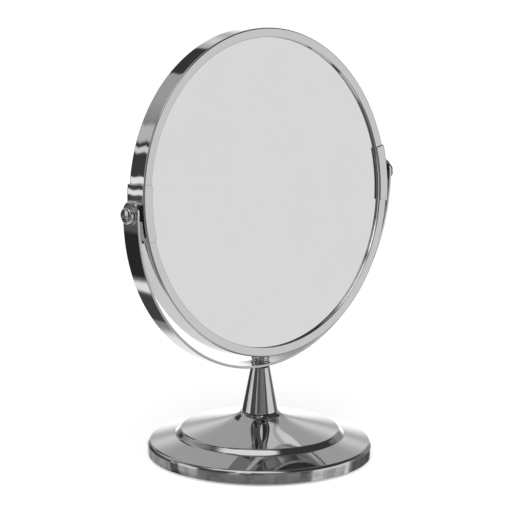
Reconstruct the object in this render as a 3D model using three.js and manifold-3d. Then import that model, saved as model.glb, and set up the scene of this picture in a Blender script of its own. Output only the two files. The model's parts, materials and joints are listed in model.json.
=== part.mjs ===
// A free-standing shaving mirror on a weighted round foot. A two-sided round head hangs between the arms of
// a bent strap yoke and turns over on two pivot screws. The yoke swivels on a turned cone that stands on the
// foot's bell.
//
// Millimetres, +Z up. The origin is on the table at the centre of the foot. The plain mirror faces -Y, the
// magnifying mirror faces +Y, and the tilt axis runs along X.

import * as THREE from "three";
import { mergeVertices } from "three/addons/utils/BufferGeometryUtils.js";
import Module from "manifold-3d";

const wasm = await Module();
wasm.setup();

// --- Driving dimensions ---------------------------------------------------------------------------

const PIVOT_HEIGHT = 149.5; // the tilt axis above the table
const HEAD_LEAN = 6.8; // degrees that the head leans back
const GAP = 0.3; // between pieces that rest on each other
const FINE_GAP = 0.1; // between the pieces of a clamped stack

const RIM_RADIUS = 90.3; // outside of the rim's band
const RIM_HALF_WIDTH = 6.3;
const RIM_SHEET = 0.8;
const RIM_CORNER = 0.8;
const LIP_RADIUS = 85.1; // inner edge of the rim's two lips
const RIM_JOINT_GAP = 0.4; // where the two halves of the rim butt

const CLIP_GAP = 0.15; // between the clip and the rim it grips
const CLIP_SHEET = 0.7;
const CLIP_CORNER = 1.1;
const CLIP_HALF_HEIGHT = 16;
const CLIP_LIP_OVERHANG = 0.3; // how far the clip reaches in past the rim's lips

const GLASS_RADIUS = 86.4;
const PLAIN_GLASS = 2;
const MAGNIFIER_GLASS = 1.8;
const MAGNIFIER_SAG = 4.3; // depth of the hollow face at its centre
const CARD = 0.8;
const CARD_RADIUS = 85.8;
const SPACER_INNER = 84;

const STRAP_WIDTH = 12;
const STRAP_THICKNESS = 1.5;
const YOKE_HALF_SPAN = 95; // outside of the arms from the centre
const YOKE_DROP = 97.7; // underside of the strap below the tilt axis
const ARM_RISE = 7.3; // arms above the tilt axis
const ARM_CORNER = 5.9;

const PIVOT_SHANK = 2; // radius of an M4 screw
const PIVOT_HEAD_RADIUS = 4.5;
const PIVOT_HEAD_HEIGHT = 2.5;
const PIVOT_CLEARANCE = 0.1; // between a shank and the hole it turns in
const PIVOT_NUT_SIDE = 7;
const PIVOT_NUT = 2.2;
const FRICTION_WASHER_RADIUS = 4.6;
const PIVOT_WASHER = 0.6;
const PIVOT_WASHER_RADIUS = 5.3;
const PIVOT_SPRING = 0.9;
const PIVOT_SPRING_RADIUS = 4.2;

const YOKE_SHANK = 2.5; // radius of an M5 screw
const YOKE_SHANK_LENGTH = 12;
const YOKE_STACK = 3; // of that length, above the cone
const YOKE_HEAD_RADIUS = 5;
const YOKE_HEAD_HEIGHT = 2.9;
const YOKE_WASHER = 0.7;
const YOKE_WASHER_RADIUS = 5.3;
const YOKE_SPRING = 0.9;
const YOKE_SPRING_RADIUS = 4.5;
const SWIVEL_WASHER = 0.6;
const SWIVEL_WASHER_RADIUS = 4.8;

const CONE_BOTTOM_RADIUS = 10.1;
const CONE_TOP_RADIUS = 5.2;
const CONE_CHAMFER = 0.4;

const BASE_RADIUS = 62.7;
const BASE_SHEET = 1.2;
const BASE_WALL_LOW = 0.8; // the wall's lower edge, clear of the table
const SHOULDER = 2.4; // round between the wall and the sloping ring
const SHOULDER_HEIGHT = 6.3; // of the round's centre
const SHOULDER_TURN = 78; // degrees, from the wall to the slope of the ring
const BEAD_FOOT = [46.8, 12.5]; // radius and height of the foot of the round step
const BEAD_TOP = [44.4, 15.4];
const FLARE_START = [41.5, 16];
const FLARE_START_HANDLE = [26, 19.4]; // the flare up to the neck bends about these two handles
const FLARE_NECK_HANDLE = [16, 21.4];
const NECK_FOOT = [12, 23.9];
const NECK_ROUND = [11.3, 24.5];
const NECK_RADIUS = 10.8;
const NECK_HIGH = 25;

const PAD = 1.4;
const PAD_RADIUS = 60.5;
const WEIGHT_RADIUS = 60.9;
const WEIGHT_BOSS = 9;
// Radius and height of the casting's outside, from its rim up to the boss.
const WEIGHT_OUTSIDE = [[WEIGHT_RADIUS, 5.4], [43.5, 9.4], [41, 12.2], [26, 15.2], [WEIGHT_BOSS, 19]];
const POCKET_RADIUS = 9; // hole in the pad and weight that takes the bolt's head
const POCKET_TOP = 8.4;
const BOLT_SHANK = 3; // radius of an M6 bolt
const BOLT_TOP = 37; // tip of the shank inside the cone
const BOLT_TIP_ROOM = 1;
const BOLT_HEAD_RADIUS = 5.77; // across corners, 10 mm across flats
const BOLT_HEAD_HEIGHT = 4;
const BOLT_WASHER = 1;
const BOLT_WASHER_RADIUS = 6.2;
const BOLT_CLEARANCE = 0.3;

const LARGE_ROUND = 72; // steps round the rim and the glass
const FOOT_ROUND = 60; // steps round the foot
const CONE_ROUND = 36; // steps round the stem cone
const SMALL_ROUND = 20; // steps round screws and washers
const CROSS_SLOT = 1; // width of a cross recess's slots
const CROSS_REACH = 0.55; // share of the head's radius
const CROSS_FLOOR = 0.4; // share of the head's height
const PAN_SIDE = 0.45; // share of the head's height that stands straight
const SPRING_SPLIT = 0.8; // width of the cut in a spring washer
const STRIP_CLEAR = 10; // from the tilt axis to the ends of the packing strips

const CLIP_RADIUS = RIM_RADIUS + CLIP_GAP + CLIP_SHEET;
const ARM_INNER = YOKE_HALF_SPAN - STRAP_THICKNESS;
const CONE_TOP = PIVOT_HEIGHT - YOKE_DROP - SWIVEL_WASHER - 2 * FINE_GAP;
const STRAP_TOP = PIVOT_HEIGHT - YOKE_DROP + STRAP_THICKNESS;

// --- Materials ------------------------------------------------------------------------------------

function chrome() {
  return new THREE.MeshStandardMaterial({ color: 0xc9cbcd, roughness: 0.06, metalness: 1 });
}

function mirrorGlass() {
  return new THREE.MeshStandardMaterial({ color: 0xe6e8e8, roughness: 0.01, metalness: 1 });
}

function zincSteel() {
  return new THREE.MeshStandardMaterial({ color: 0x9a9d9f, roughness: 0.4, metalness: 1 });
}

function castIron() {
  return new THREE.MeshStandardMaterial({ color: 0x3a3a3b, roughness: 0.8, metalness: 0.6 });
}

function nylon() {
  return new THREE.MeshStandardMaterial({ color: 0x1b1b1c, roughness: 0.5, metalness: 0 });
}

function packing() {
  return new THREE.MeshStandardMaterial({ color: 0x2a2b2c, roughness: 0.6, metalness: 0 });
}

function card() {
  return new THREE.MeshStandardMaterial({ color: 0x8d7c66, roughness: 0.9, metalness: 0 });
}

function foam() {
  return new THREE.MeshStandardMaterial({ color: 0x17181a, roughness: 0.95, metalness: 0 });
}

// --- Geometry helpers -----------------------------------------------------------------------------

// A profile is a list of [radius, height] points, anticlockwise. It starts and ends on the axis, or closes
// on itself. The piece stands on the Y axis until it is laid along another.
function turned(profile, steps) {
  const points = profile.map(([radius, height]) => new THREE.Vector2(radius, height));
  return new THREE.LatheGeometry(points, steps);
}

function closed(profile) {
  return [...profile, profile[0]];
}

function ring(inner, outer, low, high, steps) {
  const corners = [[inner, low], [outer, low], [outer, high], [inner, high]];
  return turned(closed(corners), steps);
}

function disc(radius, low, high, steps) {
  return turned([[0, low], [radius, low], [radius, high], [0, high]], steps);
}

// Points on an arc about [radius, height], from one angle to another in degrees, both ends included.
function arc(centreRadius, centreHeight, size, from, to, steps) {
  const points = [];
  for (let i = 0; i <= steps; i += 1) {
    const angle = THREE.MathUtils.degToRad(from + ((to - from) * i) / steps);
    points.push([centreRadius + size * Math.cos(angle), centreHeight + size * Math.sin(angle)]);
  }
  return points;
}

function curve(start, startHandle, endHandle, end, steps) {
  const [a, b, c, d] = [start, startHandle, endHandle, end].map(([x, y]) => new THREE.Vector2(x, y));
  return new THREE.CubicBezierCurve(a, b, c, d).getPoints(steps).map((point) => [point.x, point.y]);
}

function alongZ(geometry) {
  return geometry.rotateX(Math.PI / 2);
}

function alongX(geometry) {
  return geometry.rotateZ(-Math.PI / 2);
}

function block(x0, x1, y0, y1, z0, z1) {
  const geometry = new THREE.BoxGeometry(x1 - x0, y1 - y0, z1 - z0);
  return geometry.translate((x0 + x1) / 2, (y0 + y1) / 2, (z0 + z1) / 2);
}

function solidOf(geometry) {
  const bare = geometry.clone();
  bare.deleteAttribute("normal");
  bare.deleteAttribute("uv");
  const merged = mergeVertices(bare, 1e-4);
  const vertProperties = merged.getAttribute("position").array;
  const triVerts = new Uint32Array(merged.index.array);
  return new wasm.Manifold(new wasm.Mesh({ numProp: 3, vertProperties, triVerts }));
}

function geometryOf(solid) {
  const mesh = solid.getMesh();
  const geometry = new THREE.BufferGeometry();
  geometry.setAttribute("position", new THREE.BufferAttribute(new Float32Array(mesh.vertProperties), 3));
  geometry.setIndex(new THREE.BufferAttribute(new Uint32Array(mesh.triVerts), 1));
  geometry.computeVertexNormals();
  return geometry;
}

function cut(geometry, ...tools) {
  return geometryOf(tools.reduce((solid, tool) => solid.subtract(solidOf(tool)), solidOf(geometry)));
}

function joined(first, ...others) {
  return geometryOf(others.reduce((solid, other) => solid.add(solidOf(other)), solidOf(first)));
}

function common(first, second) {
  return geometryOf(solidOf(first).intersect(solidOf(second)));
}

function piece(name, geometry, material) {
  const mesh = new THREE.Mesh(geometry, material);
  mesh.name = name;
  return mesh;
}

// --- Fasteners, standing on the Y axis with the underside of the head or washer at height 0 -------

function washer(hole, radius, thickness) {
  return ring(hole, radius, 0, thickness, SMALL_ROUND);
}

function springWasher(hole, radius, thickness) {
  const split = block(0, 2 * radius, -thickness, 2 * thickness, -SPRING_SPLIT / 2, SPRING_SPLIT / 2);
  return cut(washer(hole, radius, thickness), split);
}

// A pan head is a short cylinder under a low dome, with a cross recess sunk into the dome.
function panScrew(shankRadius, shankLength, headRadius, headHeight) {
  const side = PAN_SIDE * headHeight;
  const crown = curve([headRadius, side], [headRadius, 0.9 * headHeight], [0.6 * headRadius, headHeight],
    [0, headHeight], 4);
  const shank = [[0, -shankLength], [shankRadius, -shankLength], [shankRadius, 0]];
  const outline = [...shank, [headRadius, 0], ...crown];
  const reach = CROSS_REACH * headRadius;
  const floor = CROSS_FLOOR * headHeight;
  const half = CROSS_SLOT / 2;
  const across = block(-reach, reach, floor, 2 * headHeight, -half, half);
  const along = block(-half, half, floor, 2 * headHeight, -reach, reach);
  return cut(turned(outline, SMALL_ROUND), across, along);
}

// --- Foot -----------------------------------------------------------------------------------------

// The bell of the foot from the table up to the neck, set in from the outside by the given depth.
function bellLine(depth) {
  const inset = ([radius, height], share = 1) => [radius - share * depth, height - depth];
  const shoulderRadius = BASE_RADIUS - SHOULDER;
  return [
    [BASE_RADIUS - depth, BASE_WALL_LOW],
    ...arc(shoulderRadius, SHOULDER_HEIGHT, SHOULDER - depth, 0, SHOULDER_TURN, 4),
    inset(BEAD_FOOT),
    inset(BEAD_TOP),
    ...curve(inset(FLARE_START, 0.2), inset(FLARE_START_HANDLE, 0.3), inset(FLARE_NECK_HANDLE, 0.5),
      inset(NECK_FOOT, 0.8), 7),
  ];
}

function baseCover() {
  const hole = BOLT_SHANK + BOLT_CLEARANCE;
  const outside = bellLine(0);
  const inside = bellLine(BASE_SHEET).reverse();
  const neck = [NECK_ROUND, [NECK_RADIUS, NECK_HIGH], [hole, NECK_HIGH], [hole, NECK_HIGH - BASE_SHEET]];
  const neckInside = [[NECK_RADIUS - BASE_SHEET, NECK_HIGH - BASE_SHEET]];
  return alongZ(turned(closed([...outside, ...neck, ...neckInside, ...inside]), FOOT_ROUND));
}

// A casting that follows the bell loosely and bears on the underside of the neck.
function baseWeight() {
  const hole = BOLT_SHANK + BOLT_CLEARANCE;
  const bottom = PAD + 2 * FINE_GAP;
  const boss = NECK_HIGH - BASE_SHEET - GAP;
  const outline = [
    [hole, POCKET_TOP],
    [POCKET_RADIUS, POCKET_TOP],
    [POCKET_RADIUS, bottom],
    [WEIGHT_RADIUS, bottom],
    ...WEIGHT_OUTSIDE,
    [WEIGHT_BOSS, boss],
    [hole, boss],
  ];
  return alongZ(turned(closed(outline), FOOT_ROUND));
}

function footPad() {
  return alongZ(ring(POCKET_RADIUS, PAD_RADIUS, 0, PAD, FOOT_ROUND));
}

function baseBolt() {
  const headTop = POCKET_TOP - BOLT_WASHER - 2 * FINE_GAP;
  const headLow = headTop - BOLT_HEAD_HEIGHT;
  const head = new THREE.CylinderGeometry(BOLT_HEAD_RADIUS, BOLT_HEAD_RADIUS, BOLT_HEAD_HEIGHT, 6);
  head.translate(0, (headTop + headLow) / 2, 0);
  const shank = disc(BOLT_SHANK, headLow + 1, BOLT_TOP, SMALL_ROUND);
  return alongZ(joined(head, shank));
}

function baseBoltWasher() {
  const low = POCKET_TOP - FINE_GAP - BOLT_WASHER;
  return alongZ(washer(BOLT_SHANK + BOLT_CLEARANCE, BOLT_WASHER_RADIUS, BOLT_WASHER).translate(0, low, 0));
}

// The cone is tapped from below for the bolt and from above for the yoke's screw.
function stemCone() {
  const low = NECK_HIGH + FINE_GAP;
  const boltHole = BOLT_SHANK + BOLT_CLEARANCE;
  const screwHole = YOKE_SHANK + BOLT_CLEARANCE;
  const screwFloor = CONE_TOP - YOKE_SHANK_LENGTH + YOKE_STACK;
  const outline = [
    [0, BOLT_TOP + BOLT_TIP_ROOM],
    [boltHole, BOLT_TOP + BOLT_TIP_ROOM],
    [boltHole, low],
    [CONE_BOTTOM_RADIUS - CONE_CHAMFER, low],
    [CONE_BOTTOM_RADIUS, low + CONE_CHAMFER],
    [CONE_TOP_RADIUS, CONE_TOP - CONE_CHAMFER],
    [CONE_TOP_RADIUS - CONE_CHAMFER, CONE_TOP],
    [screwHole, CONE_TOP],
    [screwHole, screwFloor],
    [0, screwFloor],
  ];
  return alongZ(turned(outline, CONE_ROUND));
}

function swivelWasher() {
  const hole = YOKE_SHANK + PIVOT_CLEARANCE;
  return alongZ(washer(hole, SWIVEL_WASHER_RADIUS, SWIVEL_WASHER).translate(0, CONE_TOP + FINE_GAP, 0));
}

const YOKE_WASHER_LOW = STRAP_TOP + 2 * FINE_GAP;
const YOKE_SPRING_LOW = YOKE_WASHER_LOW + YOKE_WASHER + FINE_GAP;
const YOKE_HEAD_LOW = YOKE_SPRING_LOW + YOKE_SPRING + FINE_GAP;

function yokeFlatWasher() {
  const hole = YOKE_SHANK + PIVOT_CLEARANCE;
  return alongZ(washer(hole, YOKE_WASHER_RADIUS, YOKE_WASHER).translate(0, YOKE_WASHER_LOW, 0));
}

function yokeSpringWasher() {
  const hole = YOKE_SHANK + PIVOT_CLEARANCE;
  return alongZ(springWasher(hole, YOKE_SPRING_RADIUS, YOKE_SPRING).translate(0, YOKE_SPRING_LOW, 0));
}

function yokeScrew() {
  const screw = panScrew(YOKE_SHANK, YOKE_SHANK_LENGTH, YOKE_HEAD_RADIUS, YOKE_HEAD_HEIGHT);
  return alongZ(screw.translate(0, YOKE_HEAD_LOW, 0));
}

// --- Yoke, about the tilt axis --------------------------------------------------------------------

// Half an ellipse under the tilt axis with a straight arm at each end, drawn in X and Z.
function strapLine(depth) {
  const steps = 44;
  const span = YOKE_HALF_SPAN - depth;
  const drop = YOKE_DROP - depth;
  const points = [new THREE.Vector2(-span, ARM_RISE)];
  for (let i = 0; i <= steps; i += 1) {
    const angle = Math.PI * (1 + i / steps);
    points.push(new THREE.Vector2(span * Math.cos(angle), drop * Math.sin(angle)));
  }
  points.push(new THREE.Vector2(span, ARM_RISE));
  return points;
}

function yokeBand() {
  const outline = new THREE.Shape([...strapLine(0), ...strapLine(STRAP_THICKNESS).reverse()]);
  const strap = new THREE.ExtrudeGeometry(outline, { depth: STRAP_WIDTH, bevelEnabled: false });
  strap.translate(0, 0, -STRAP_WIDTH / 2).rotateX(Math.PI / 2);

  const half = STRAP_WIDTH / 2;
  const side = new THREE.Shape();
  side.moveTo(-half, -2 * YOKE_DROP);
  side.lineTo(half, -2 * YOKE_DROP);
  side.lineTo(half, ARM_RISE - ARM_CORNER);
  side.absarc(half - ARM_CORNER, ARM_RISE - ARM_CORNER, ARM_CORNER, 0, Math.PI / 2);
  side.absarc(ARM_CORNER - half, ARM_RISE - ARM_CORNER, ARM_CORNER, Math.PI / 2, Math.PI);
  const width = 4 * YOKE_HALF_SPAN;
  const ends = new THREE.ExtrudeGeometry(side, { depth: width, bevelEnabled: false, curveSegments: 5 });
  ends.translate(0, 0, -width / 2).rotateX(Math.PI / 2).rotateZ(Math.PI / 2);

  const pivotHole = PIVOT_SHANK + PIVOT_CLEARANCE;
  const screwHole = YOKE_SHANK + PIVOT_CLEARANCE;
  const pivots = alongX(disc(pivotHole, -width / 2, width / 2, SMALL_ROUND));
  const bottom = alongZ(disc(screwHole, -2 * YOKE_DROP, 0, SMALL_ROUND));
  return cut(common(strap, ends), pivots, bottom);
}

// Distances of the pivot pieces from the centre, outwards.
const FRICTION_WASHER_LOW = CLIP_RADIUS + 2 * FINE_GAP;
const FRICTION_WASHER = ARM_INNER - 2 * FINE_GAP - FRICTION_WASHER_LOW;
const PIVOT_WASHER_LOW = YOKE_HALF_SPAN + FINE_GAP;
const PIVOT_SPRING_LOW = PIVOT_WASHER_LOW + PIVOT_WASHER + FINE_GAP;
const PIVOT_HEAD_LOW = PIVOT_SPRING_LOW + PIVOT_SPRING + FINE_GAP;
const PIVOT_NUT_HIGH = RIM_RADIUS - RIM_SHEET - GAP - FINE_GAP;
const PIVOT_HOLE = PIVOT_SHANK + PIVOT_CLEARANCE;

function frictionWasher() {
  const ringed = washer(PIVOT_HOLE, FRICTION_WASHER_RADIUS, FRICTION_WASHER);
  return alongX(ringed.translate(0, FRICTION_WASHER_LOW, 0));
}

function pivotFlatWasher() {
  const ringed = washer(PIVOT_HOLE, PIVOT_WASHER_RADIUS, PIVOT_WASHER);
  return alongX(ringed.translate(0, PIVOT_WASHER_LOW, 0));
}

// --- Head, about the tilt axis --------------------------------------------------------------------

// Section of a sheet channel that opens towards the centre.
function channel(radius, lipRadius, halfWidth, sheet, corner) {
  const inner = radius - sheet;
  const innerHalf = halfWidth - sheet;
  return closed([
    [lipRadius, -halfWidth],
    ...arc(radius - corner, corner - halfWidth, corner, -90, 0, 2),
    ...arc(radius - corner, halfWidth - corner, corner, 0, 90, 2),
    [lipRadius, halfWidth],
    [lipRadius, innerHalf],
    [inner, innerHalf],
    [inner, -innerHalf],
    [lipRadius, -innerHalf],
  ]);
}

function upperSpace(low) {
  const reach = 2 * RIM_RADIUS;
  return block(-reach, reach, -reach, reach, low, reach);
}

function lowerSpace(high) {
  const reach = 2 * RIM_RADIUS;
  return block(-reach, reach, -reach, reach, -reach, high);
}

function pivotBore() {
  return alongX(disc(PIVOT_HOLE, -2 * RIM_RADIUS, 2 * RIM_RADIUS, SMALL_ROUND));
}

function rimHalf(space) {
  const section = channel(RIM_RADIUS, LIP_RADIUS, RIM_HALF_WIDTH, RIM_SHEET, RIM_CORNER);
  return cut(common(turned(section, LARGE_ROUND), space), pivotBore());
}

// The clip is a short length of a wider channel that saddles the rim at the pivot.
function clip() {
  const halfWidth = RIM_HALF_WIDTH + CLIP_GAP + CLIP_SHEET;
  const section = channel(CLIP_RADIUS, LIP_RADIUS - CLIP_LIP_OVERHANG, halfWidth, CLIP_SHEET, CLIP_CORNER);
  const height = CLIP_HALF_HEIGHT;
  const space = block(0, 2 * RIM_RADIUS, -2 * halfWidth, 2 * halfWidth, -height, height);
  return cut(common(turned(section, LARGE_ROUND), space), pivotBore());
}

// Depths inside the rim, from the plain mirror at -Y to the magnifying mirror at +Y.
const GLASS_FACE = RIM_HALF_WIDTH - RIM_SHEET - GAP;
const CARD_FRONT = PLAIN_GLASS - GLASS_FACE + GAP;
const CARD_BACK = CARD_FRONT + CARD;

function plainGlass() {
  return disc(GLASS_RADIUS, -GLASS_FACE, PLAIN_GLASS - GLASS_FACE, LARGE_ROUND);
}

function backingCard() {
  return disc(CARD_RADIUS, CARD_FRONT, CARD_BACK, LARGE_ROUND);
}

function magnifierGlass() {
  const steps = 4;
  const face = [];
  for (let i = 0; i <= steps; i += 1) {
    const radius = (GLASS_RADIUS * i) / steps;
    face.push([radius, GLASS_FACE - MAGNIFIER_SAG * (1 - (i / steps) ** 2)]);
  }
  const back = face.map(([radius, depth]) => [radius, depth - MAGNIFIER_GLASS]);
  return turned([...back, ...face.reverse()], LARGE_ROUND);
}

function spacerRing() {
  const high = GLASS_FACE - MAGNIFIER_GLASS - 2 * GAP;
  return ring(SPACER_INNER, CARD_RADIUS, CARD_BACK + GAP, high, LARGE_ROUND);
}

// Soft strips that fill the channel round the glass, clear of the pivot nuts.
function packingStrip(space) {
  const outer = RIM_RADIUS - RIM_SHEET - GAP;
  const half = GLASS_FACE - GAP;
  return common(ring(GLASS_RADIUS + GAP, outer, -half, half, LARGE_ROUND), space);
}

function pivotNut() {
  const half = PIVOT_NUT_SIDE / 2;
  return cut(block(PIVOT_NUT_HIGH - PIVOT_NUT, PIVOT_NUT_HIGH, -half, half, -half, half), pivotBore());
}

function pivotSpringWasher() {
  const spring = springWasher(PIVOT_HOLE, PIVOT_SPRING_RADIUS, PIVOT_SPRING);
  return alongX(spring.translate(0, PIVOT_SPRING_LOW, 0));
}

function pivotScrew() {
  const length = PIVOT_HEAD_LOW - PIVOT_NUT_HIGH + PIVOT_NUT;
  const screw = panScrew(PIVOT_SHANK, length, PIVOT_HEAD_RADIUS, PIVOT_HEAD_HEIGHT);
  return alongX(screw.translate(0, PIVOT_HEAD_LOW, 0));
}

// --- Assembly -------------------------------------------------------------------------------------

function footGroup() {
  const group = new THREE.Group();
  group.add(
    piece("base_cover", baseCover(), chrome()),
    piece("base_weight", baseWeight(), castIron()),
    piece("foot_pad", footPad(), foam()),
    piece("base_bolt", baseBolt(), zincSteel()),
    piece("base_bolt_washer", baseBoltWasher(), zincSteel()),
    piece("stem_cone", stemCone(), chrome()),
    piece("swivel_washer", swivelWasher(), nylon()),
    piece("yoke_flat_washer", yokeFlatWasher(), chrome()),
    piece("yoke_spring_washer", yokeSpringWasher(), chrome()),
    piece("yoke_screw", yokeScrew(), chrome()),
  );
  return group;
}

// Both sides hold the same pieces; the left side is the right one turned half round the Z axis.
function sides(makePieces) {
  return ["left", "right"].map((side) => {
    const group = new THREE.Group();
    group.rotation.z = side === "left" ? Math.PI : 0;
    group.add(...makePieces(side));
    return group;
  });
}

function yokeGroup() {
  const group = new THREE.Group();
  group.position.z = PIVOT_HEIGHT;
  group.add(piece("yoke_band", yokeBand(), chrome()));
  group.add(...sides((side) => [
    piece(`friction_washer_${side}`, frictionWasher(), nylon()),
    piece(`pivot_flat_washer_${side}`, pivotFlatWasher(), chrome()),
  ]));
  return group;
}

function headGroup() {
  const group = new THREE.Group();
  group.position.z = PIVOT_HEIGHT;
  group.rotation.x = -THREE.MathUtils.degToRad(HEAD_LEAN);
  group.add(
    piece("rim_upper_half", rimHalf(upperSpace(RIM_JOINT_GAP / 2)), chrome()),
    piece("rim_lower_half", rimHalf(lowerSpace(-RIM_JOINT_GAP / 2)), chrome()),
    piece("plain_mirror_glass", plainGlass(), mirrorGlass()),
    piece("backing_card", backingCard(), card()),
    piece("magnifying_mirror_glass", magnifierGlass(), mirrorGlass()),
    piece("spacer_ring", spacerRing(), packing()),
    piece("packing_strip_upper", packingStrip(upperSpace(STRIP_CLEAR)), packing()),
    piece("packing_strip_lower", packingStrip(lowerSpace(-STRIP_CLEAR)), packing()),
  );
  group.add(...sides((side) => [
    piece(`rim_clip_${side}`, clip(), chrome()),
    piece(`pivot_nut_${side}`, pivotNut(), zincSteel()),
    piece(`pivot_screw_${side}`, pivotScrew(), chrome()),
    piece(`pivot_spring_washer_${side}`, pivotSpringWasher(), chrome()),
  ]));
  return group;
}

const group = new THREE.Group();
group.add(footGroup(), yokeGroup(), headGroup());

export default group;
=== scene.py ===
"""A chromed tabletop shaving mirror in a small photo studio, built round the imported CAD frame.

Shapes are worked out in millimetres and turned into metres when a mesh is made. The head's pieces are
drawn about the pivot with the plain mirror facing -Y, and lean back with the head. A piece made here stands
for a CAD node, at its place and size, with the rounds, recesses and surface that the plain solid lacks.
The nodes that stay as they are in the frame get a material.
"""

import json
import math

import bmesh
import bpy
from mathutils import Matrix, Vector


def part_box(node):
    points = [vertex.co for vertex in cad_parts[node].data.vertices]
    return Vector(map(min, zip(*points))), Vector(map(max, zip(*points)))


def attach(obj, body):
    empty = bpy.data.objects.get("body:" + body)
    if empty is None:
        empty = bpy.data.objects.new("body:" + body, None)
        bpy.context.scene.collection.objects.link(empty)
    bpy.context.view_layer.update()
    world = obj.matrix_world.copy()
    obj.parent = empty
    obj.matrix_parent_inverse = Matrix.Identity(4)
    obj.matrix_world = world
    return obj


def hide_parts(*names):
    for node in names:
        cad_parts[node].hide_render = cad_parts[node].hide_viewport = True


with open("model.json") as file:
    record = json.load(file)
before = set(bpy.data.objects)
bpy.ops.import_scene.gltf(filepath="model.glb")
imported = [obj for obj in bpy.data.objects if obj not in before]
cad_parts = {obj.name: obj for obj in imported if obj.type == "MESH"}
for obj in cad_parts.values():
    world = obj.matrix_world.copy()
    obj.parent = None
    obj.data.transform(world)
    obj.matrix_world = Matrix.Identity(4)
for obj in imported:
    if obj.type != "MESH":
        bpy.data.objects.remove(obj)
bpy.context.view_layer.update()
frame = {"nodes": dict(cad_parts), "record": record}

MM = 0.001
JOINTS = {joint["name"]: joint for joint in frame["record"]["behaviour"]["joints"]}

# --- Sizes, in millimetres and degrees, from the frame where it holds them ------------------------


def low(node):
    """The lowest corner of a CAD node's box, in millimetres."""
    return Vector(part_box(node)[0]) / MM


def high(node):
    """The highest corner of a CAD node's box, in millimetres."""
    return Vector(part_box(node)[1]) / MM


PIVOT_HEIGHT = JOINTS["head_tilt"]["pos_m"][2] / MM
HEAD_LEAN = 6.8

RIM_RADIUS = high("rim_upper_half").x
RIM_HALF_WIDTH = 6.3
RIM_SHEET = 0.8
RIM_HOLLOW = 0.07
LIP_RADIUS = 85.1
CLIP_GAP = 0.15
CLIP_SHEET = 0.7
CLIP_RADIUS = RIM_RADIUS + CLIP_GAP + CLIP_SHEET
CLIP_HALF_WIDTH = RIM_HALF_WIDTH + CLIP_GAP + CLIP_SHEET
CLIP_LIP_RADIUS = LIP_RADIUS - 0.3
CLIP_HALF_ANGLE = 10.1

GLASS_RADIUS = 86.4
SILVER_DEPTH = 1.75
MAGNIFIER_SAG = 4.3
PIVOT_HEAD_RADIUS = 4.5
PIVOT_SPRING_RADIUS = 4.2

YOKE_SPAN = high("yoke_band").x
YOKE_DROP = PIVOT_HEIGHT - low("yoke_band").z
YOKE_RISE = high("yoke_band").z - PIVOT_HEIGHT
STRAP_HALF_WIDTH = high("yoke_band").y
STRAP_THICKNESS = 1.5
STRAP_CORNER = 5.9
HOLE_ROOM = 0.1
SEAT_GAP = 0.1
PIVOT_SHANK = 2.0
YOKE_SHANK = 2.5
BOLT_SHANK = 3.0
BOLT_HOLE = 3.3

BASE_RADIUS = high("base_cover").x
WALL_LOW = low("base_cover").z
NECK_HIGH = high("base_cover").z

SMOOTH = 192

# --- Places: each turns a shape drawn about Z into its spot on the object -------------------------

HEAD = Matrix.Translation((0, 0, PIVOT_HEIGHT)) @ Matrix.Rotation(math.radians(-HEAD_LEAN), 4, "X")
YOKE = Matrix.Translation((0, 0, PIVOT_HEIGHT))
FOOT = Matrix()
Z_TO_Y = Matrix.Rotation(math.radians(-90), 4, "X")
Z_TO_X = Matrix.Rotation(math.radians(90), 4, "Y")
SIDES = {"left": Matrix.Rotation(math.pi, 4, "Z"), "right": Matrix()}

# --- Mesh helpers ---------------------------------------------------------------------------------


def mesh_piece(name, points, faces, place, sharp=35):
    """A smooth-shaded mesh of points in millimetres, with edges over the sharp angle kept crisp."""
    mesh = bpy.data.meshes.new(name)
    mesh.from_pydata([(place @ Vector(point)) * MM for point in points], [], faces)
    shape = bmesh.new()
    shape.from_mesh(mesh)
    bmesh.ops.remove_doubles(shape, verts=shape.verts, dist=1e-7)
    bmesh.ops.dissolve_degenerate(shape, edges=shape.edges, dist=1e-8)
    bmesh.ops.recalc_face_normals(shape, faces=shape.faces)
    shape.to_mesh(mesh)
    shape.free()
    smooth(mesh, sharp)
    piece = bpy.data.objects.new(name, mesh)
    bpy.context.scene.collection.objects.link(piece)
    keep_flats(piece)
    return piece


def smooth(mesh, sharp):
    for polygon in mesh.polygons:
        polygon.use_smooth = True
    mesh.set_sharp_from_angle(angle=math.radians(sharp))


def keep_flats(piece):
    """Shades flats flat and leaves the turn of the light to the rounds between them."""
    weights = piece.modifiers.new("keep_flats", "WEIGHTED_NORMAL")
    weights.weight = 100
    weights.keep_sharp = True


def skin(name, rows, place, ring=False, loop=True, ends=False, sharp=35):
    """Joins equal rows of points with faces. ring joins the last row to the first, loop each row's ends."""
    width = len(rows[0])
    points = [point for row in rows for point in row]
    faces = []
    for i in range(len(rows) if ring else len(rows) - 1):
        here = i * width
        there = (i + 1) % len(rows) * width
        for j in range(width if loop else width - 1):
            k = (j + 1) % width
            faces.append((here + j, here + k, there + k, there + j))
    if ends:
        faces.append(tuple(range(width)))
        faces.append(tuple(range(len(points) - width, len(points)))[::-1])
    return mesh_piece(name, points, faces, place, sharp)


def lathe(name, profile, place, steps=SMOOTH, loop=True, sharp=35):
    """Turns a profile of (radius, height) points round Z. Without loop it starts and ends on the axis."""
    rows = []
    for i in range(steps):
        angle = math.tau * i / steps
        rows.append([(r * math.cos(angle), r * math.sin(angle), h) for r, h in profile])
    return skin(name, rows, place, ring=True, loop=loop, sharp=sharp)


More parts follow.
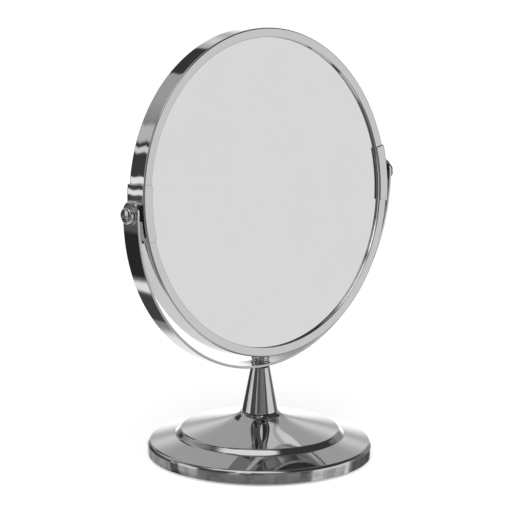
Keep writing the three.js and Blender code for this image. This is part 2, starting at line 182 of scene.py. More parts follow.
def rounded(corners, steps=6, loop=True):
    """An outline through (x, y, radius) corners, each turned into an arc of its radius."""
    outline = []
    for i, (x, y, radius) in enumerate(corners):
        here = Vector((x, y))
        if radius == 0 or (not loop and i in (0, len(corners) - 1)):
            outline.append((x, y))
            continue
        back = (Vector(corners[i - 1][:2]) - here).normalized()
        ahead = (Vector(corners[(i + 1) % len(corners)][:2]) - here).normalized()
        half = back.angle(ahead) / 2
        centre = here + (back + ahead).normalized() * radius / math.sin(half)
        start = here + back * radius / math.tan(half) - centre
        sweep = math.pi - 2 * half
        if back.x * ahead.y - back.y * ahead.x > 0:
            sweep = -sweep
        for k in range(steps + 1):
            turn = sweep * k / steps
            x_turned = start.x * math.cos(turn) - start.y * math.sin(turn)
            y_turned = start.x * math.sin(turn) + start.y * math.cos(turn)
            outline.append((centre.x + x_turned, centre.y + y_turned))
    return outline


def bezier(a, b, c, d, steps):
    """Points on a cubic curve with handles b and c."""
    points = []
    for i in range(steps + 1):
        t = i / steps
        s = 1 - t
        weights = (s ** 3, 3 * s * s * t, 3 * s * t * t, t ** 3)
        points.append(tuple(sum(w * p[k] for w, p in zip(weights, (a, b, c, d))) for k in (0, 1)))
    return points


def ring_piece(name, inner, outer, bottom, top, edge, place, steps=SMOOTH):
    """A flat ring with rounded edges."""
    corners = [(inner, bottom, edge), (outer, bottom, edge), (outer, top, edge), (inner, top, edge)]
    return lathe(name, rounded(corners), place, steps)


def carve(piece, cutter, bevel, sharp=35):
    """Cuts one mesh out of another, rounds the edges by the bevel in mm, and removes the cutter."""
    piece.modifiers.clear()
    cut = piece.modifiers.new("cut", "BOOLEAN")
    cut.object = cutter
    cut.solver = "EXACT"
    edges = piece.modifiers.new("edges", "BEVEL")
    edges.width = bevel * MM
    edges.segments = 2
    edges.angle_limit = math.radians(40)
    bpy.context.view_layer.update()
    graph = bpy.context.evaluated_depsgraph_get()
    mesh = bpy.data.meshes.new_from_object(piece.evaluated_get(graph))
    piece.modifiers.clear()
    piece.data = mesh
    smooth(mesh, sharp)
    bpy.data.objects.remove(cutter)
    keep_flats(piece)


def bore(piece, radius, start, end, place):
    """Drills a round hole along a place's Z axis, with a broken edge."""
    drill = [(0, start), (radius, start), (radius, end), (0, end)]
    carve(piece, lathe("drill", drill, place, 48, loop=False), 0.1)


# --- Node helpers ---------------------------------------------------------------------------------


def node(tree, kind, inputs=None, **settings):
    """Adds a node. inputs maps a socket's name or number to a value or to another node's output."""
    made = tree.nodes.new(kind)
    for name, value in settings.items():
        setattr(made, name, value)
    for key, value in (inputs or {}).items():
        if isinstance(value, bpy.types.NodeSocket):
            tree.links.new(value, made.inputs[key])
        else:
            made.inputs[key].default_value = value
    return made


def maths(tree, operation, first, second=0.0):
    return node(tree, "ShaderNodeMath", {0: first, 1: second}, operation=operation).outputs[0]


def ramp(tree, value, from_low, from_high, to_low, to_high):
    """Maps a value from one range to another, smoothly and clamped."""
    inputs = {
        "Value": value,
        "From Min": from_low,
        "From Max": from_high,
        "To Min": to_low,
        "To Max": to_high,
    }
    return node(tree, "ShaderNodeMapRange", inputs, interpolation_type="SMOOTHSTEP").outputs["Result"]


def around(tree, place, per_mm):
    """Coordinates round a place's Z axis: radius, height and arc, times three densities per millimetre."""
    undo = place.inverted()
    position = node(tree, "ShaderNodeTexCoord").outputs["Object"]
    local = node(tree, "ShaderNodeMapping", {
        "Vector": position,
        "Location": undo.translation * MM,
        "Rotation": undo.to_euler(),
    }).outputs[0]
    parts = node(tree, "ShaderNodeSeparateXYZ", {0: local})
    flat = node(tree, "ShaderNodeCombineXYZ", {0: parts.outputs[0], 1: parts.outputs[1]}).outputs[0]
    radius = node(tree, "ShaderNodeVectorMath", {0: flat}, operation="LENGTH").outputs["Value"]
    angle = maths(tree, "ARCTAN2", parts.outputs[1], parts.outputs[0])
    arc = maths(tree, "MULTIPLY", angle, 0.09)
    scaled = [
        maths(tree, "MULTIPLY", value, density / MM)
        for value, density in zip((radius, parts.outputs[2], arc), per_mm)
    ]
    return node(tree, "ShaderNodeCombineXYZ", dict(enumerate(scaled))).outputs[0]


def noise(tree, vector, scale=1.0, detail=3.0, roughness=0.55):
    inputs = {"Vector": vector, "Scale": scale, "Detail": detail, "Roughness": roughness}
    return node(tree, "ShaderNodeTexNoise", inputs).outputs[0]


def blank_material(name):
    """A material with only a Principled shader: returns it, its tree and the shader."""
    material = bpy.data.materials.new(name)
    material.use_nodes = True
    shader = next(n for n in material.node_tree.nodes if n.type == "BSDF_PRINCIPLED")
    return material, material.node_tree, shader


def tint(tree, value, dark, light):
    """A colour between two, by a value from 0 to 1."""
    mix = node(tree, "ShaderNodeMix", {"Factor": value}, data_type="RGBA")
    mix.inputs["A"].default_value = (*dark, 1)
    mix.inputs["B"].default_value = (*light, 1)
    return mix.outputs["Result"]


def bump(tree, height, strength, distance_mm, before=None):
    inputs = {"Height": height, "Strength": strength, "Distance": distance_mm * MM}
    if before is not None:
        inputs["Normal"] = before
    return node(tree, "ShaderNodeBump", inputs).outputs[0]


def object_noise(tree, per_mm, detail=3.0, roughness=0.55):
    position = node(tree, "ShaderNodeTexCoord").outputs["Object"]
    return noise(tree, position, per_mm / MM, detail, roughness)


# --- Materials ------------------------------------------------------------------------------------

CHROME_DARK = (0.64, 0.64, 0.642)
CHROME_LIGHT = (0.69, 0.69, 0.692)


def chrome(name, place, waviness=0.0, scratch=0.06):
    """Bright chrome plate with hair scratches round the place's axis, wiping smears and faint waves."""
    material, tree, shader = blank_material(name)
    shader.inputs["Metallic"].default_value = 1
    smears = object_noise(tree, 0.09, 4)
    hair = noise(tree, around(tree, place, (9, 9, 0.12)), 1, 2, 0.7)
    fine = ramp(tree, hair, 0.52, 0.72, 0, 1)
    tree.links.new(tint(tree, smears, CHROME_DARK, CHROME_LIGHT), shader.inputs["Base Color"])
    smear_roughness = ramp(tree, smears, 0.42, 0.72, 0.02, 0.06)
    roughness = maths(tree, "ADD", smear_roughness, maths(tree, "MULTIPLY", fine, 0.03))
    tree.links.new(roughness, shader.inputs["Roughness"])
    normal = bump(tree, hair, scratch, 0.02)
    if waviness:
        waves = noise(tree, around(tree, place, (0.05, 0.08, 0.05)), 1, 1, 0.4)
        normal = bump(tree, waves, waviness, 1.0, normal)
    tree.links.new(normal, shader.inputs["Normal"])
    return material


def mirror_glass():
    """Silvered glass, all but flawless: a trace of smear in the roughness and the tone."""
    material, tree, shader = blank_material("silvered_glass")
    shader.inputs["Metallic"].default_value = 1
    smears = object_noise(tree, 0.03, 5, 0.6)
    silver = tint(tree, smears, (0.82, 0.82, 0.82), (0.835, 0.835, 0.835))
    tree.links.new(silver, shader.inputs["Base Color"])
    tree.links.new(ramp(tree, smears, 0.45, 0.75, 0.0, 0.025), shader.inputs["Roughness"])
    shader.inputs["Coat Weight"].default_value = 0.3
    shader.inputs["Coat Roughness"].default_value = 0.01
    return material


def zinc():
    """Zinc-plated steel: dull, with a faint crystalline mottle."""
    material, tree, shader = blank_material("zinc_plate")
    shader.inputs["Metallic"].default_value = 1
    mottle = object_noise(tree, 0.9, 5)
    plate = tint(tree, mottle, (0.44, 0.45, 0.46), (0.62, 0.63, 0.64))
    tree.links.new(plate, shader.inputs["Base Color"])
    tree.links.new(ramp(tree, mottle, 0.3, 0.7, 0.28, 0.45), shader.inputs["Roughness"])
    tree.links.new(bump(tree, object_noise(tree, 6), 0.2, 0.02), shader.inputs["Normal"])
    return material


def casting():
    """Painted grey iron with the grain of its sand mould."""
    material, tree, shader = blank_material("cast_iron")
    shader.inputs["Metallic"].default_value = 0.3
    grain = object_noise(tree, 1.6, 6, 0.7)
    paint = tint(tree, grain, (0.03, 0.03, 0.032), (0.11, 0.11, 0.112))
    tree.links.new(paint, shader.inputs["Base Color"])
    tree.links.new(ramp(tree, grain, 0.3, 0.7, 0.55, 0.85), shader.inputs["Roughness"])
    tree.links.new(bump(tree, grain, 0.6, 0.15), shader.inputs["Normal"])
    return material


def plastic(name, dark, light, roughness, grain_per_mm):
    """Moulded or extruded plastic with a fine grain and slight mottle."""
    material, tree, shader = blank_material(name)
    mottle = object_noise(tree, 0.25, 3)
    grain = object_noise(tree, grain_per_mm, 2)
    tree.links.new(tint(tree, mottle, dark, light), shader.inputs["Base Color"])
    sheen = ramp(tree, grain, 0.3, 0.7, roughness - 0.06, roughness + 0.06)
    tree.links.new(sheen, shader.inputs["Roughness"])
    tree.links.new(bump(tree, grain, 0.25, 0.03), shader.inputs["Normal"])
    return material


def board():
    """Grey-brown card with flecks of fibre."""
    material, tree, shader = blank_material("backing_board")
    fibre = object_noise(tree, 0.8, 8, 0.75)
    paper = tint(tree, fibre, (0.30, 0.24, 0.17), (0.50, 0.42, 0.31))
    tree.links.new(paper, shader.inputs["Base Color"])
    shader.inputs["Roughness"].default_value = 0.9
    tree.links.new(bump(tree, fibre, 0.4, 0.05), shader.inputs["Normal"])
    return material


def foam():
    """Black closed-cell foam: small round cells in a matt skin."""
    material, tree, shader = blank_material("black_foam")
    position = node(tree, "ShaderNodeTexCoord").outputs["Object"]
    voronoi = node(tree, "ShaderNodeTexVoronoi", {"Vector": position, "Scale": 2.2 / MM})
    cells = voronoi.outputs["Distance"]
    skin_colour = tint(tree, cells, (0.012, 0.012, 0.013), (0.04, 0.04, 0.042))
    tree.links.new(skin_colour, shader.inputs["Base Color"])
    shader.inputs["Roughness"].default_value = 0.92
    tree.links.new(bump(tree, cells, 0.5, 0.12), shader.inputs["Normal"])
    return material


# --- How a piece joins the object -----------------------------------------------------------------

BODIES = frame["record"]["behaviour"]["bodies"]
BODY_OF = {name: body for body, names in BODIES.items() for name in names}


def stand_for(piece, node_name, material):
    """Puts a finished piece in a CAD node's place, on the node's body and in its material slot."""
    piece.data.materials.clear()
    piece.data.materials.append(material)
    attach(piece, BODY_OF[node_name])
    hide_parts(node_name)
    return piece


def finish_node(node_name, material):
    """Gives a CAD node that stays its finished material."""
    carried = frame["nodes"][node_name]
    carried.data.materials.clear()
    carried.data.materials.append(material)


# --- Foot -----------------------------------------------------------------------------------------


def bell_profile():
    """Section of the spun cover: outside from the wall's hem to the neck, then back down the inside."""
    sheet = 1.2
    wall_bulge = 0.07
    neck_foot = (12.0, 23.9)
    under_neck = (9.6, NECK_HIGH - sheet)
    under_step = (40.9, 14.8)
    outside = rounded([
        (BASE_RADIUS - sheet, WALL_LOW, 0.35),
        (BASE_RADIUS - wall_bulge, WALL_LOW, 0.6),
        (BASE_RADIUS, 3.8, 40),
        (BASE_RADIUS - wall_bulge, 8.2, 2.4),
        (46.8, 12.5, 2.6),
        (44.4, 15.4, 2.4),
        (41.5, 16.0, 0),
    ], 8, loop=False)
    flare = bezier(outside[-1], (26, 19.4), (16, 21.4), neck_foot, 28)
    neck_edge = rounded([
        (*neck_foot, 0),
        (11.3, 24.5, 0.8),
        (10.8, NECK_HIGH, 0.3),
        (BOLT_HOLE, NECK_HIGH, 0.2),
        (BOLT_HOLE, NECK_HIGH - sheet, 0.2),
        (*under_neck, 0),
    ], 6, loop=False)
    inner_flare = bezier(under_neck, (15.2, 20.2), (25.6, 18.1), under_step, 28)
    inside = rounded([
        (*under_step, 0),
        (43.5, 14.3, 0.3),
        (45.7, 11.5, 0.3),
        (BASE_RADIUS - sheet, 7.1, 0.9),
    ], 6, loop=False)
    return outside + flare[1:] + neck_edge[1:] + inner_flare[1:-1] + inside


def foot(chrome_turned, foam_black, zinc_plate, iron):
    cover = lathe("spun_foot_cover", bell_profile(), FOOT, 256)
    stand_for(cover, "base_cover", chrome_turned)

    cone_low, cone_high = low("stem_cone").z, high("stem_cone").z
    bolt_depth = 13.5
    screw_hole, screw_depth = 2.8, 8
    cone = rounded([
        (0, cone_low + bolt_depth, 0),
        (BOLT_HOLE, cone_low + bolt_depth, 0),
        (BOLT_HOLE, cone_low, 0.3),
        (high("stem_cone").x, cone_low, 0.6),
        (5.2, cone_high, 0.5),
        (screw_hole, cone_high, 0.2),
        (screw_hole, cone_high - screw_depth, 0),
        (0, cone_high - screw_depth, 0),
    ], 6, loop=False)
    stand_for(lathe("turned_stem_cone", cone, FOOT, 128, loop=False), "stem_cone", chrome_turned)

    pad_low, pad_high = low("foot_pad"), high("foot_pad")
    pad = ring_piece("foam_foot_pad", 9, pad_high.x, pad_low.z, pad_high.z, 0.4, FOOT)
    stand_for(pad, "foot_pad", foam_black)

    hex_bolt("foot_bolt", zinc_plate)
    under, over = low("base_bolt_washer"), high("base_bolt_washer")
    bolt_washer = ring_piece("foot_bolt_washer", BOLT_HOLE, over.x, under.z, over.z, 0.12, FOOT, 64)
    stand_for(bolt_washer, "base_bolt_washer", zinc_plate)
    finish_node("base_weight", iron)


def hex_bolt(name, material):
    """The bolt under the foot: a hexagon head chamfered by a cone, and a shank with its thread."""
    half_flats = 5.0
    head_low = low("base_bolt").z
    head_high = head_low + 4.0
    tip = high("base_bolt").z
    chamfer = [(0.0, 4.4), (0.25, 5.0), (0.6, 5.8)]
    heights = [(head_low + rise, cone) for rise, cone in chamfer] + [(head_high, 5.8)]
    rows = []
    for i in range(144):
        angle = math.tau * i / 144
        flat = half_flats / math.cos((angle % (math.pi / 3)) - math.pi / 6)
        sides = [(min(flat, cone), z) for z, cone in heights]
        row = [(0, head_low), *sides, (BOLT_SHANK, head_high)]
        pitch = 1.0
        for k in range(int((tip - head_high) / pitch * 4)):
            z = head_high + 1 + k * pitch / 4
            depth = 0.3 * (0.5 + 0.5 * math.cos(math.tau * (z / pitch) - angle))
            if z < tip - 0.4:
                row.append((BOLT_SHANK - depth, z))
        row += [(2.4, tip), (0, tip)]
        rows.append([(r * math.cos(angle), r * math.sin(angle), z) for r, z in row])
    bolt = skin(name, rows, FOOT, ring=True, loop=False, sharp=25)
    stand_for(bolt, "base_bolt", material)


# --- Screws and washers ---------------------------------------------------------------------------


def cross_cutter(reach, width, depth, top):
    """A tapered cross, wide at the top and blunt at the bottom, that cuts a cross recess."""
    rows = []
    floor, middle, above = (top - depth, 0.45, 0.6), (top - 0.55 * depth, 0.72, 0.85), (top + 1, 1.15, 1.15)
    for z, spread, half in (floor, middle, above):
        a = reach * spread
        b = width / 2 * half
        quarter = [(a, -b), (a, b), (b, b)]
        row = []
        for turn in range(4):
            cosine, sine = round(math.cos(turn * math.pi / 2)), round(math.sin(turn * math.pi / 2))
            row += [(x * cosine - y * sine, x * sine + y * cosine, z) for x, y in quarter]
        rows.append(row)
    return rows


def pan_screw(name, node_name, place, size, material):
    """A pan-head screw with a cross recess.

    size holds the shank's radius, its tip, the head's radius and height, and where the head sits.
    """
    shank, tip, head, head_height, seat = size
    crown_foot = seat + 0.3 * head_height
    top = seat + head_height
    crown = bezier((head, crown_foot), (head, seat + 0.72 * head_height), (0.55 * head, top), (0, top), 16)
    profile = rounded([
        (0, tip, 0),
        (shank - 0.4, tip, 0),
        (shank, tip + 0.5, 0),
        (shank, seat, 0),
        (head, seat, 0.25),
        (head, crown_foot, 0),
    ], 5, loop=False)
    screw = lathe(name, profile + crown[1:], place, 96, loop=False)
    rows = cross_cutter(0.6 * head, 0.26 * head, 0.72 * head_height, top)
    cutter = skin(name + "_cutter", rows, place, ends=True)
    carve(screw, cutter, 0.07)
    stand_for(screw, node_name, material)


def spring_washer(name, node_name, place, inner, outer, bottom, top, material):
    """A split ring that climbs slightly from one side of the split to the other."""
    lift = 0.12
    split = math.radians(9)
    steps = 96
    edge = 0.12
    rows = []
    for i in range(steps + 1):
        share = i / steps
        angle = split / 2 + (math.tau - split) * share
        rise = lift * share
        section = rounded([
            (inner, bottom + rise, edge),
            (outer, bottom + rise, edge),
            (outer, top - lift + rise, edge),
            (inner, top - lift + rise, edge),
        ], 3)
        rows.append([(r * math.cos(angle), r * math.sin(angle), h) for r, h in section])
    stand_for(skin(name, rows, place, ends=True), node_name, material)


def yoke_fastening(chrome_screw, black_nylon):
    """The stack that holds the strap to the cone: slip washer, flat washer, spring washer and screw."""
    hole = YOKE_SHANK + HOLE_ROOM
    under, over = low("swivel_washer"), high("swivel_washer")
    slip = ring_piece("nylon_swivel_washer", hole, over.x, under.z, over.z, 0.15, FOOT, 96)
    stand_for(slip, "swivel_washer", black_nylon)

    under, over = low("yoke_flat_washer"), high("yoke_flat_washer")
    flat = ring_piece("strap_flat_washer", hole, over.x, under.z, over.z, 0.2, FOOT, 96)
    stand_for(flat, "yoke_flat_washer", chrome_screw)

    under, over = low("yoke_spring_washer"), high("yoke_spring_washer")
    spring_washer("strap_spring_washer", "yoke_spring_washer", FOOT,
                  hole, over.y, under.z, over.z, chrome_screw)

    seat = over.z + SEAT_GAP
    tip, end = low("yoke_screw").z, high("yoke_screw").z
    size = (YOKE_SHANK, tip, high("yoke_screw").x, end - seat, seat)
    pan_screw("strap_screw", "yoke_screw", FOOT, size, chrome_screw)


def pivot_fastening(side, chrome_screw, black_nylon, zinc_plate):
    """One side's pivot: friction washer, flat washer, spring washer, screw and the nut in the rim.

    Its sizes come from the right side's nodes, and the places turn them to the left side.
    """
    head_place = HEAD @ SIDES[side] @ Z_TO_X
    yoke_place = YOKE @ SIDES[side] @ Z_TO_X
    hole = PIVOT_SHANK + HOLE_ROOM

    under, over = low("friction_washer_right"), high("friction_washer_right")
    nylon = ring_piece(f"nylon_pivot_washer_{side}", hole, over.y, under.x, over.x, 0.25, yoke_place, 96)
    stand_for(nylon, f"friction_washer_{side}", black_nylon)

    under, over = low("pivot_flat_washer_right"), high("pivot_flat_washer_right")
    flat = ring_piece(f"pivot_washer_{side}", hole, over.y, under.x, over.x, 0.16, yoke_place, 96)
    stand_for(flat, f"pivot_flat_washer_{side}", chrome_screw)

    under, over = low("pivot_spring_washer_right"), high("pivot_spring_washer_right")
    spring_washer(f"pivot_split_washer_{side}", f"pivot_spring_washer_{side}", head_place,
                  hole, PIVOT_SPRING_RADIUS, under.x, over.x, chrome_screw)

    seat = over.x + SEAT_GAP
    tip, end = low("pivot_screw_right").x, high("pivot_screw_right").x
    size = (PIVOT_SHANK, tip, PIVOT_HEAD_RADIUS, end - seat, seat)
    pan_screw(f"pivot_pan_screw_{side}", f"pivot_screw_{side}", head_place, size, chrome_screw)
    finish_node(f"pivot_nut_{side}", zinc_plate)


# --- Yoke -----------------------------------------------------------------------------------------


def strap_path():
    """Points and outward directions down one arm, round the half ellipse and up the other, in X and Z."""
    path = []
    arm_steps = 24
    for i in range(arm_steps):
        share = math.sin(math.pi / 2 * i / arm_steps)
        path.append(((-YOKE_SPAN, YOKE_RISE * (1 - share)), (-1, 0)))
    bend_steps = 180
    for i in range(bend_steps + 1):
        angle = math.pi * (1 + i / bend_steps)
        point = (YOKE_SPAN * math.cos(angle), YOKE_DROP * math.sin(angle))
        out = Vector((math.cos(angle) / YOKE_SPAN, math.sin(angle) / YOKE_DROP)).normalized()
        path.append((point, tuple(out)))
    for (x, z), _ in path[arm_steps - 1::-1]:
        path.append(((-x, z), (1, 0)))
    return path


def inset(reach, radius):
    """How far a rounded corner of the radius has pulled in at a distance from the end."""
    if reach >= radius:
        return 0.0
    return radius - math.sqrt(radius ** 2 - (radius - reach) ** 2)


def strap(material):
    """The bent flat strap, with rounded arm ends and softly broken edges."""
    edge = 0.32
    rows = []
    for (x, z), (out_x, out_z) in strap_path():
        reach = YOKE_RISE - z
        pull = inset(max(reach, 0.001), edge)
        half = max(STRAP_HALF_WIDTH - inset(max(reach, 0.001), STRAP_CORNER) - pull, 0.35)
        corners = [
            (-half, -pull, edge * 0.9),
            (half, -pull, edge * 0.9),
            (half, -STRAP_THICKNESS + pull, edge * 0.9),
            (-half, -STRAP_THICKNESS + pull, edge * 0.9),
        ]
        section = rounded(corners, 4)
        rows.append([(x + out_x * depth, across, z + out_z * depth) for across, depth in section])
    yoke = skin("bent_strap_yoke", rows, YOKE, ends=True)
    bore(yoke, PIVOT_SHANK + HOLE_ROOM, -2 * YOKE_SPAN, 2 * YOKE_SPAN, YOKE @ Z_TO_X)
    bore(yoke, YOKE_SHANK + HOLE_ROOM, -2 * YOKE_DROP, 0, YOKE)
    stand_for(yoke, "yoke_band", material)


# --- Head -----------------------------------------------------------------------------------------


def channel_section(radius, lip, half_width, sheet, corner, pull=0.0):
    """Section of a folded sheet channel, as (radius, depth) points. pull rounds it in near an end."""
    edge = sheet * 0.42
    inner = radius - sheet
    shallow = half_width - sheet
    return rounded([
        (lip, -half_width + pull, edge),
        (radius - pull, -half_width + pull, corner),
        (radius - pull - RIM_HOLLOW, 0, 250),
        (radius - pull, half_width - pull, corner),
        (lip, half_width - pull, edge),
        (lip, shallow + pull * 0.9, edge * 0.9),
        (inner + pull * 0.9, shallow + pull * 0.9, 0.2),
        (inner + pull * 0.9, -shallow - pull * 0.9, 0.2),
        (lip, -shallow - pull * 0.9, edge * 0.9),
    ], 5)


def place_section(section, angle):
    """Stands a section at an angle round the mirror's axis, drawn about Y."""
    return [(r * math.cos(angle), depth, r * math.sin(angle)) for r, depth in section]


def rim_half(name, node_name, middle, material):
    """Half of the rim. The halves butt on the pivot axis, under the clips."""
    half_sweep = math.pi / 2 - 0.2 / RIM_RADIUS
    steps = 150
    section = channel_section(RIM_RADIUS, LIP_RADIUS, RIM_HALF_WIDTH, RIM_SHEET, 0.85)
    rows = []
    for i in range(steps + 1):
        angle = middle - half_sweep + 2 * half_sweep * i / steps
        rows.append(place_section(section, angle))
    half = skin(name, rows, HEAD, ends=True)
    bore(half, PIVOT_SHANK + HOLE_ROOM, -2 * RIM_RADIUS, 2 * RIM_RADIUS, HEAD @ Z_TO_X)
    stand_for(half, node_name, material)


def clip(side, material):
    """The saddle clip over the rim at a pivot, with rounded corners on its two flanges."""
    steps = 60
    flange_corner = 1.3
    sweep = math.radians(CLIP_HALF_ANGLE)
    rows = []
    for i in range(steps + 1):
        share = math.sin(math.pi / 2 * (2 * i / steps - 1))
        angle = sweep * share
        reach = max((sweep - abs(angle)) * CLIP_RADIUS, 0.001)
        pull = inset(reach, 0.25)
        lip = CLIP_LIP_RADIUS + inset(reach, flange_corner)
        section = channel_section(CLIP_RADIUS, lip, CLIP_HALF_WIDTH, CLIP_SHEET, 1.1, pull)
        rows.append(place_section(section, angle))
    saddle = skin(f"saddle_clip_{side}", rows, HEAD @ SIDES[side], ends=True)
    bore(saddle, PIVOT_SHANK + HOLE_ROOM, 0, 2 * RIM_RADIUS, HEAD @ SIDES[side] @ Z_TO_X)
    stand_for(saddle, f"rim_clip_{side}", material)


def glasses(silver):
    """The plain mirror in front and the hollow magnifying mirror behind."""
    face = RIM_HALF_WIDTH - SILVER_DEPTH
    shelf = RIM_HALF_WIDTH - RIM_SHEET - 0.1
    plain = rounded([
        (0, -face, 0),
        (GLASS_RADIUS - 1.1, -face, 0),
        (GLASS_RADIUS - 0.5, -shelf, 0.1),
        (GLASS_RADIUS, -shelf, 0.1),
        (GLASS_RADIUS, -2.9, 0.2),
        (0, -2.9, 0),
    ], 4, loop=False)
    front = lathe("plain_mirror", plain, HEAD @ Z_TO_Y, 256, loop=False)
    stand_for(front, "plain_mirror_glass", silver)

    rim_face = RIM_HALF_WIDTH - RIM_SHEET - 0.3
    steps = 40
    hollow = []
    for i in range(steps + 1):
        share = i / steps
        hollow.append((GLASS_RADIUS * share, rim_face - MAGNIFIER_SAG * (1 - share ** 2)))
    back = [(r, h - 1.8) for r, h in hollow]
    behind = lathe("magnifying_mirror", back + hollow[::-1], HEAD @ Z_TO_Y, 256, loop=False)
    stand_for(behind, "magnifying_mirror_glass", silver)


# --- Studio ---------------------------------------------------------------------------------------

# What polished metal sees. Each panel is painted over those before it: its azimuth from and to, with 0 at
# -Y and 90 at +X, its elevation from and to, how soft its sides and its top and bottom are, all in degrees,
# and its radiance.
STUDIO_WALLS = 0.30
STUDIO_PANELS = {
    "back_ceiling": (88, 200, 24, 62, 10, 5, 0.46),
    "left_ceiling_gap": (193, 262, 44, 78, 8, 6, 0.08),
    "right_ceiling_gap": (-14, 108, 24, 80, 4, 4, 0.05),
    "overhead_lamp": (-125, -5, 50, 82, 8, 5, 1.0),
    "bead_dark": (-126, -14, 22, 44, 3, 3, 0.06),
    "bead_grey": (-101, -92, 22, 44, 2, 3, 0.5),
    "bead_light": (-69, -52, 22, 44, 3, 3, 1.2),
    "bead_soft": (-48, -18, 24, 44, 3, 3, 0.36),
    "front": (-38, 14, -14, 30, 3, 6, 0.22),
    "front_dark": (-64, -38, -14, 30, 3, 6, 0.12),
    "window_stripe": (-73, -63, -14, 26, 2, 5, 0.42),
    "left_gap": (-108, -74, -14, 34, 3, 6, 0.08),
    "front_line": (-1, 9, -14, 16, 2, 4, 0.09),
    "right_softbox": (13, 61, -30, 20, 3, 4, 0.82),
    "right_gap": (68, 92, -14, 22, 5, 5, 0.16),
    "backdrop": (117, 155, -20, 9, 5, 9, 1.24),
    "backdrop_foot": (108, 164, -60, -20, 6, 5, 1.0),
    "backdrop_top": (122, 152.5, 15, 25.5, 5, 5, 0.8),
    "dark_bar": (153.5, 174, 24.5, 38, 1, 1, 0.05),
    "left_wall": (166, 224, -14, 15, 5, 1, 0.06),
    "pane_low": (200, 218, 15.2, 17.4, 3, 0.5, 0.85),
    "pane_line": (200, 218, 17.6, 19.2, 3, 0.5, 0.04),
    "pane_high": (204, 214, 19.6, 25.5, 2, 1, 0.64),
    "left_softbox": (227, 251, -14, 24, 2, 6, 0.84),
    "glint_high": (216, 223, 1.8, 4.8, 1, 0.4, 1.1),
    "glint_middle": (217, 222.5, -3.2, -0.8, 1, 0.4, 1.05),
    "glint_low": (217, 223, -9.2, -6.2, 1, 0.5, 0.95),
    "floor_front": (-112, 11, -50, -14, 5, 1.5, 0.20),
    "floor_right": (14, 58, -50, -14, 4, 1.5, 0.54),
    "floor_far_right": (66, 114, -50, -13, 4, 1.5, 0.11),
    "floor_left": (206, 250, -19, -14, 4, 1.5, 0.42),
    "floor_behind": (170, 208, -19, -14, 4, 1.5, 0.34),
    "left_post": (213.5, 226, -21, -11.5, 2, 2, 0.12),
    "table_left": (192, 230, -36, -19, 5, 1, 0.03),
    "table_line": (196, 206, -40, -37, 2, 0.7, 1.05),
    "table_back": (174, 196, -50, -39, 2, 2, 0.07),
    "floor_under": (-180, 180, -90, -50, 5, 4, 0.7),
}
FLOOR_CLUTTER = (-24, -12, 7, 6, 0.72, 1.28)


def window(tree, value, start, end, soft):
    """1 between two bounds and 0 outside, with soft edges."""
    rise = ramp(tree, value, start - soft, start + soft, 0, 1)
    fall = ramp(tree, value, end - soft, end + soft, 1, 0)
    return maths(tree, "MULTIPLY", rise, fall)


def studio_radiance(tree):
    """The panels' radiance in the direction that a ray leaves in."""
    direction = node(tree, "ShaderNodeTexCoord").outputs["Generated"]
    parts = node(tree, "ShaderNodeSeparateXYZ", {0: direction})
    toward = maths(tree, "MULTIPLY", parts.outputs[1], -1)
    turn = maths(tree, "MULTIPLY", maths(tree, "ARCTAN2", parts.outputs[0], toward), math.degrees(1))
    wrapped = maths(tree, "FLOORED_MODULO", turn, 360)
    height = maths(tree, "MULTIPLY", maths(tree, "ARCSINE", parts.outputs[2]), math.degrees(1))
    radiance = STUDIO_WALLS
    for start, end, bottom, top, side_soft, level_soft, strength in STUDIO_PANELS.values():
        azimuth = wrapped if end > 180 else turn
        across = window(tree, azimuth, start, end, side_soft)
        up = window(tree, height, bottom, top, level_soft)
        share = maths(tree, "MULTIPLY", across, up)
        mix = node(tree, "ShaderNodeMix", {"Factor": share, "A": radiance, "B": strength})
        radiance = mix.outputs["Result"]
    return maths(tree, "MULTIPLY", radiance, clutter(tree, turn, height))


def clutter(tree, turn, height):
    """Uneven blocks and streaks of light and shade along the table's far edge, as a factor."""
    bottom, top, width, rise, dark, light = FLOOR_CLUTTER
    slow = node(tree, "ShaderNodeCombineXYZ", {0: maths(tree, "MULTIPLY", turn, 0.05)})
    drift = noise(tree, slow.outputs[0])
    bent = maths(tree, "ADD", turn, maths(tree, "MULTIPLY", drift, 30))
    column = maths(tree, "FLOOR", maths(tree, "DIVIDE", bent, width))
    level = maths(tree, "FLOOR", maths(tree, "DIVIDE", height, rise))
    total = 0.0
    for place, share in (({0: column, 1: level}, 0.3), ({0: column}, 0.3)):
        cell = node(tree, "ShaderNodeCombineXYZ", place).outputs[0]
        random = node(tree, "ShaderNodeTexWhiteNoise", {"Vector": cell}, noise_dimensions="2D")
        value = random.outputs["Value"]
        total = maths(tree, "ADD", maths(tree, "MULTIPLY", value, share), total)
    stretched = node(tree, "ShaderNodeCombineXYZ", {
        0: maths(tree, "MULTIPLY", turn, 0.04),
        1: maths(tree, "MULTIPLY", height, 0.9),
    }).outputs[0]
    total = maths(tree, "ADD", total, maths(tree, "MULTIPLY", noise(tree, stretched, 1, 3, 0.6), 0.4))
    factor = ramp(tree, total, 0.15, 0.85, dark, light)
    within = window(tree, height, bottom, top, 0.5)
    return node(tree, "ShaderNodeMix", {"Factor": within, "A": 1.0, "B": factor}).outputs["Result"]


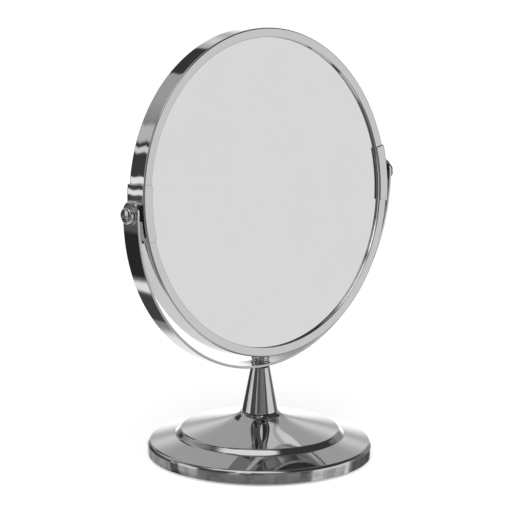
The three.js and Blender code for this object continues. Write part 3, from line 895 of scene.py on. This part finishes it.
def studio_world():
    """White behind the object for the camera, and the panels for everything that reflects or is lit."""
    world = bpy.data.worlds.new("studio")
    world.use_nodes = True
    tree = world.node_tree
    tree.nodes.clear()
    seen = node(tree, "ShaderNodeLightPath").outputs["Is Camera Ray"]
    white = node(tree, "ShaderNodeBackground", {"Color": (1, 1, 1, 1), "Strength": 1.0}).outputs[0]
    strength = studio_radiance(tree)
    panels = node(tree, "ShaderNodeBackground", {"Color": (1, 1, 1, 1), "Strength": strength}).outputs[0]
    mixed = node(tree, "ShaderNodeMixShader", {0: seen, 1: panels, 2: white}).outputs[0]
    node(tree, "ShaderNodeOutputWorld", {"Surface": mixed})
    bpy.context.scene.world = world


def studio_floor():
    """A pale floor that runs on into the white background. Polished metal sees the panels instead."""
    half = 9000
    points = [(-half, -half, -0.2), (half, -half, -0.2), (half, half, -0.2), (-half, half, -0.2)]
    floor = mesh_piece("studio_floor", points, [(0, 1, 2, 3)], FOOT)
    material, tree, shader = blank_material("pale_floor")
    grain = object_noise(tree, 0.02, 3)
    pale = tint(tree, grain, (0.90, 0.90, 0.90), (0.92, 0.92, 0.92))
    tree.links.new(pale, shader.inputs["Base Color"])
    shader.inputs["Roughness"].default_value = 0.8
    shader.inputs["Specular IOR Level"].default_value = 0.0
    shader.inputs["Emission Color"].default_value = (1, 1, 1, 1)
    shader.inputs["Emission Strength"].default_value = 0.6
    floor.data.materials.append(material)
    floor.visible_glossy = False


def soft_light():
    """A broad overhead light for the floor and the matt pieces. Polished metal doesn't see it."""
    data = bpy.data.lights.new("soft_light", "SUN")
    data.energy = 0.7
    data.angle = math.radians(60)
    light = bpy.data.objects.new("soft_light", data)
    light.rotation_euler = (math.radians(28), math.radians(-18), 0)
    light.visible_glossy = False
    bpy.context.scene.collection.objects.link(light)


def camera():
    """A long lens, left of the object and a little above it, that looks slightly down."""
    position = Vector((-1.0900, -1.1692, 0.4757))
    yaw, pitch, roll = math.radians(42.886), math.radians(-12.765), math.radians(0.54)
    ahead = Vector((math.sin(yaw) * math.cos(pitch), math.cos(yaw) * math.cos(pitch), math.sin(pitch)))
    level = Vector((math.cos(yaw), -math.sin(yaw), 0))
    upright = level.cross(ahead)
    right = level * math.cos(roll) + upright * math.sin(roll)
    up = upright * math.cos(roll) - level * math.sin(roll)
    data = bpy.data.cameras.new("camera")
    data.sensor_width = 36
    data.lens = 208.73
    data.clip_end = 20
    made = bpy.data.objects.new("camera", data)
    turn = Matrix((right, up, -ahead)).transposed().to_4x4()
    made.matrix_world = Matrix.Translation(position) @ turn
    bpy.context.scene.collection.objects.link(made)
    bpy.context.scene.camera = made


# --- Assembly -------------------------------------------------------------------------------------


def main():
    chrome_turned = chrome("chrome_turned", FOOT, 0.02)
    chrome_strap = chrome("chrome_strap", YOKE @ Z_TO_Y, 0.03)
    chrome_rim = chrome("chrome_rim", HEAD @ Z_TO_Y, 0.03)
    chrome_clip = chrome("chrome_clip", HEAD @ Z_TO_Y, 0.12)
    chrome_screw = chrome("chrome_screw", HEAD @ Z_TO_X, 0.0, 0.1)
    silver = mirror_glass()
    zinc_plate = zinc()
    black_nylon = plastic("black_nylon", (0.02, 0.02, 0.0205), (0.035, 0.035, 0.036), 0.45, 3)
    packing = plastic("dark_packing", (0.02, 0.02, 0.021), (0.04, 0.04, 0.042), 0.6, 2)

    foot(chrome_turned, foam(), zinc_plate, casting())
    yoke_fastening(chrome_screw, black_nylon)
    strap(chrome_strap)
    for side in SIDES:
        pivot_fastening(side, chrome_screw, black_nylon, zinc_plate)
        clip(side, chrome_clip)
    rim_half("rim_half_upper", "rim_upper_half", math.pi / 2, chrome_rim)
    rim_half("rim_half_lower", "rim_lower_half", -math.pi / 2, chrome_rim)
    glasses(silver)
    finish_node("backing_card", board())
    for node_name in ("spacer_ring", "packing_strip_upper", "packing_strip_lower"):
        finish_node(node_name, packing)

    studio_world()
    studio_floor()
    soft_light()
    camera()
    bpy.context.scene.view_settings.view_transform = "Standard"


main()
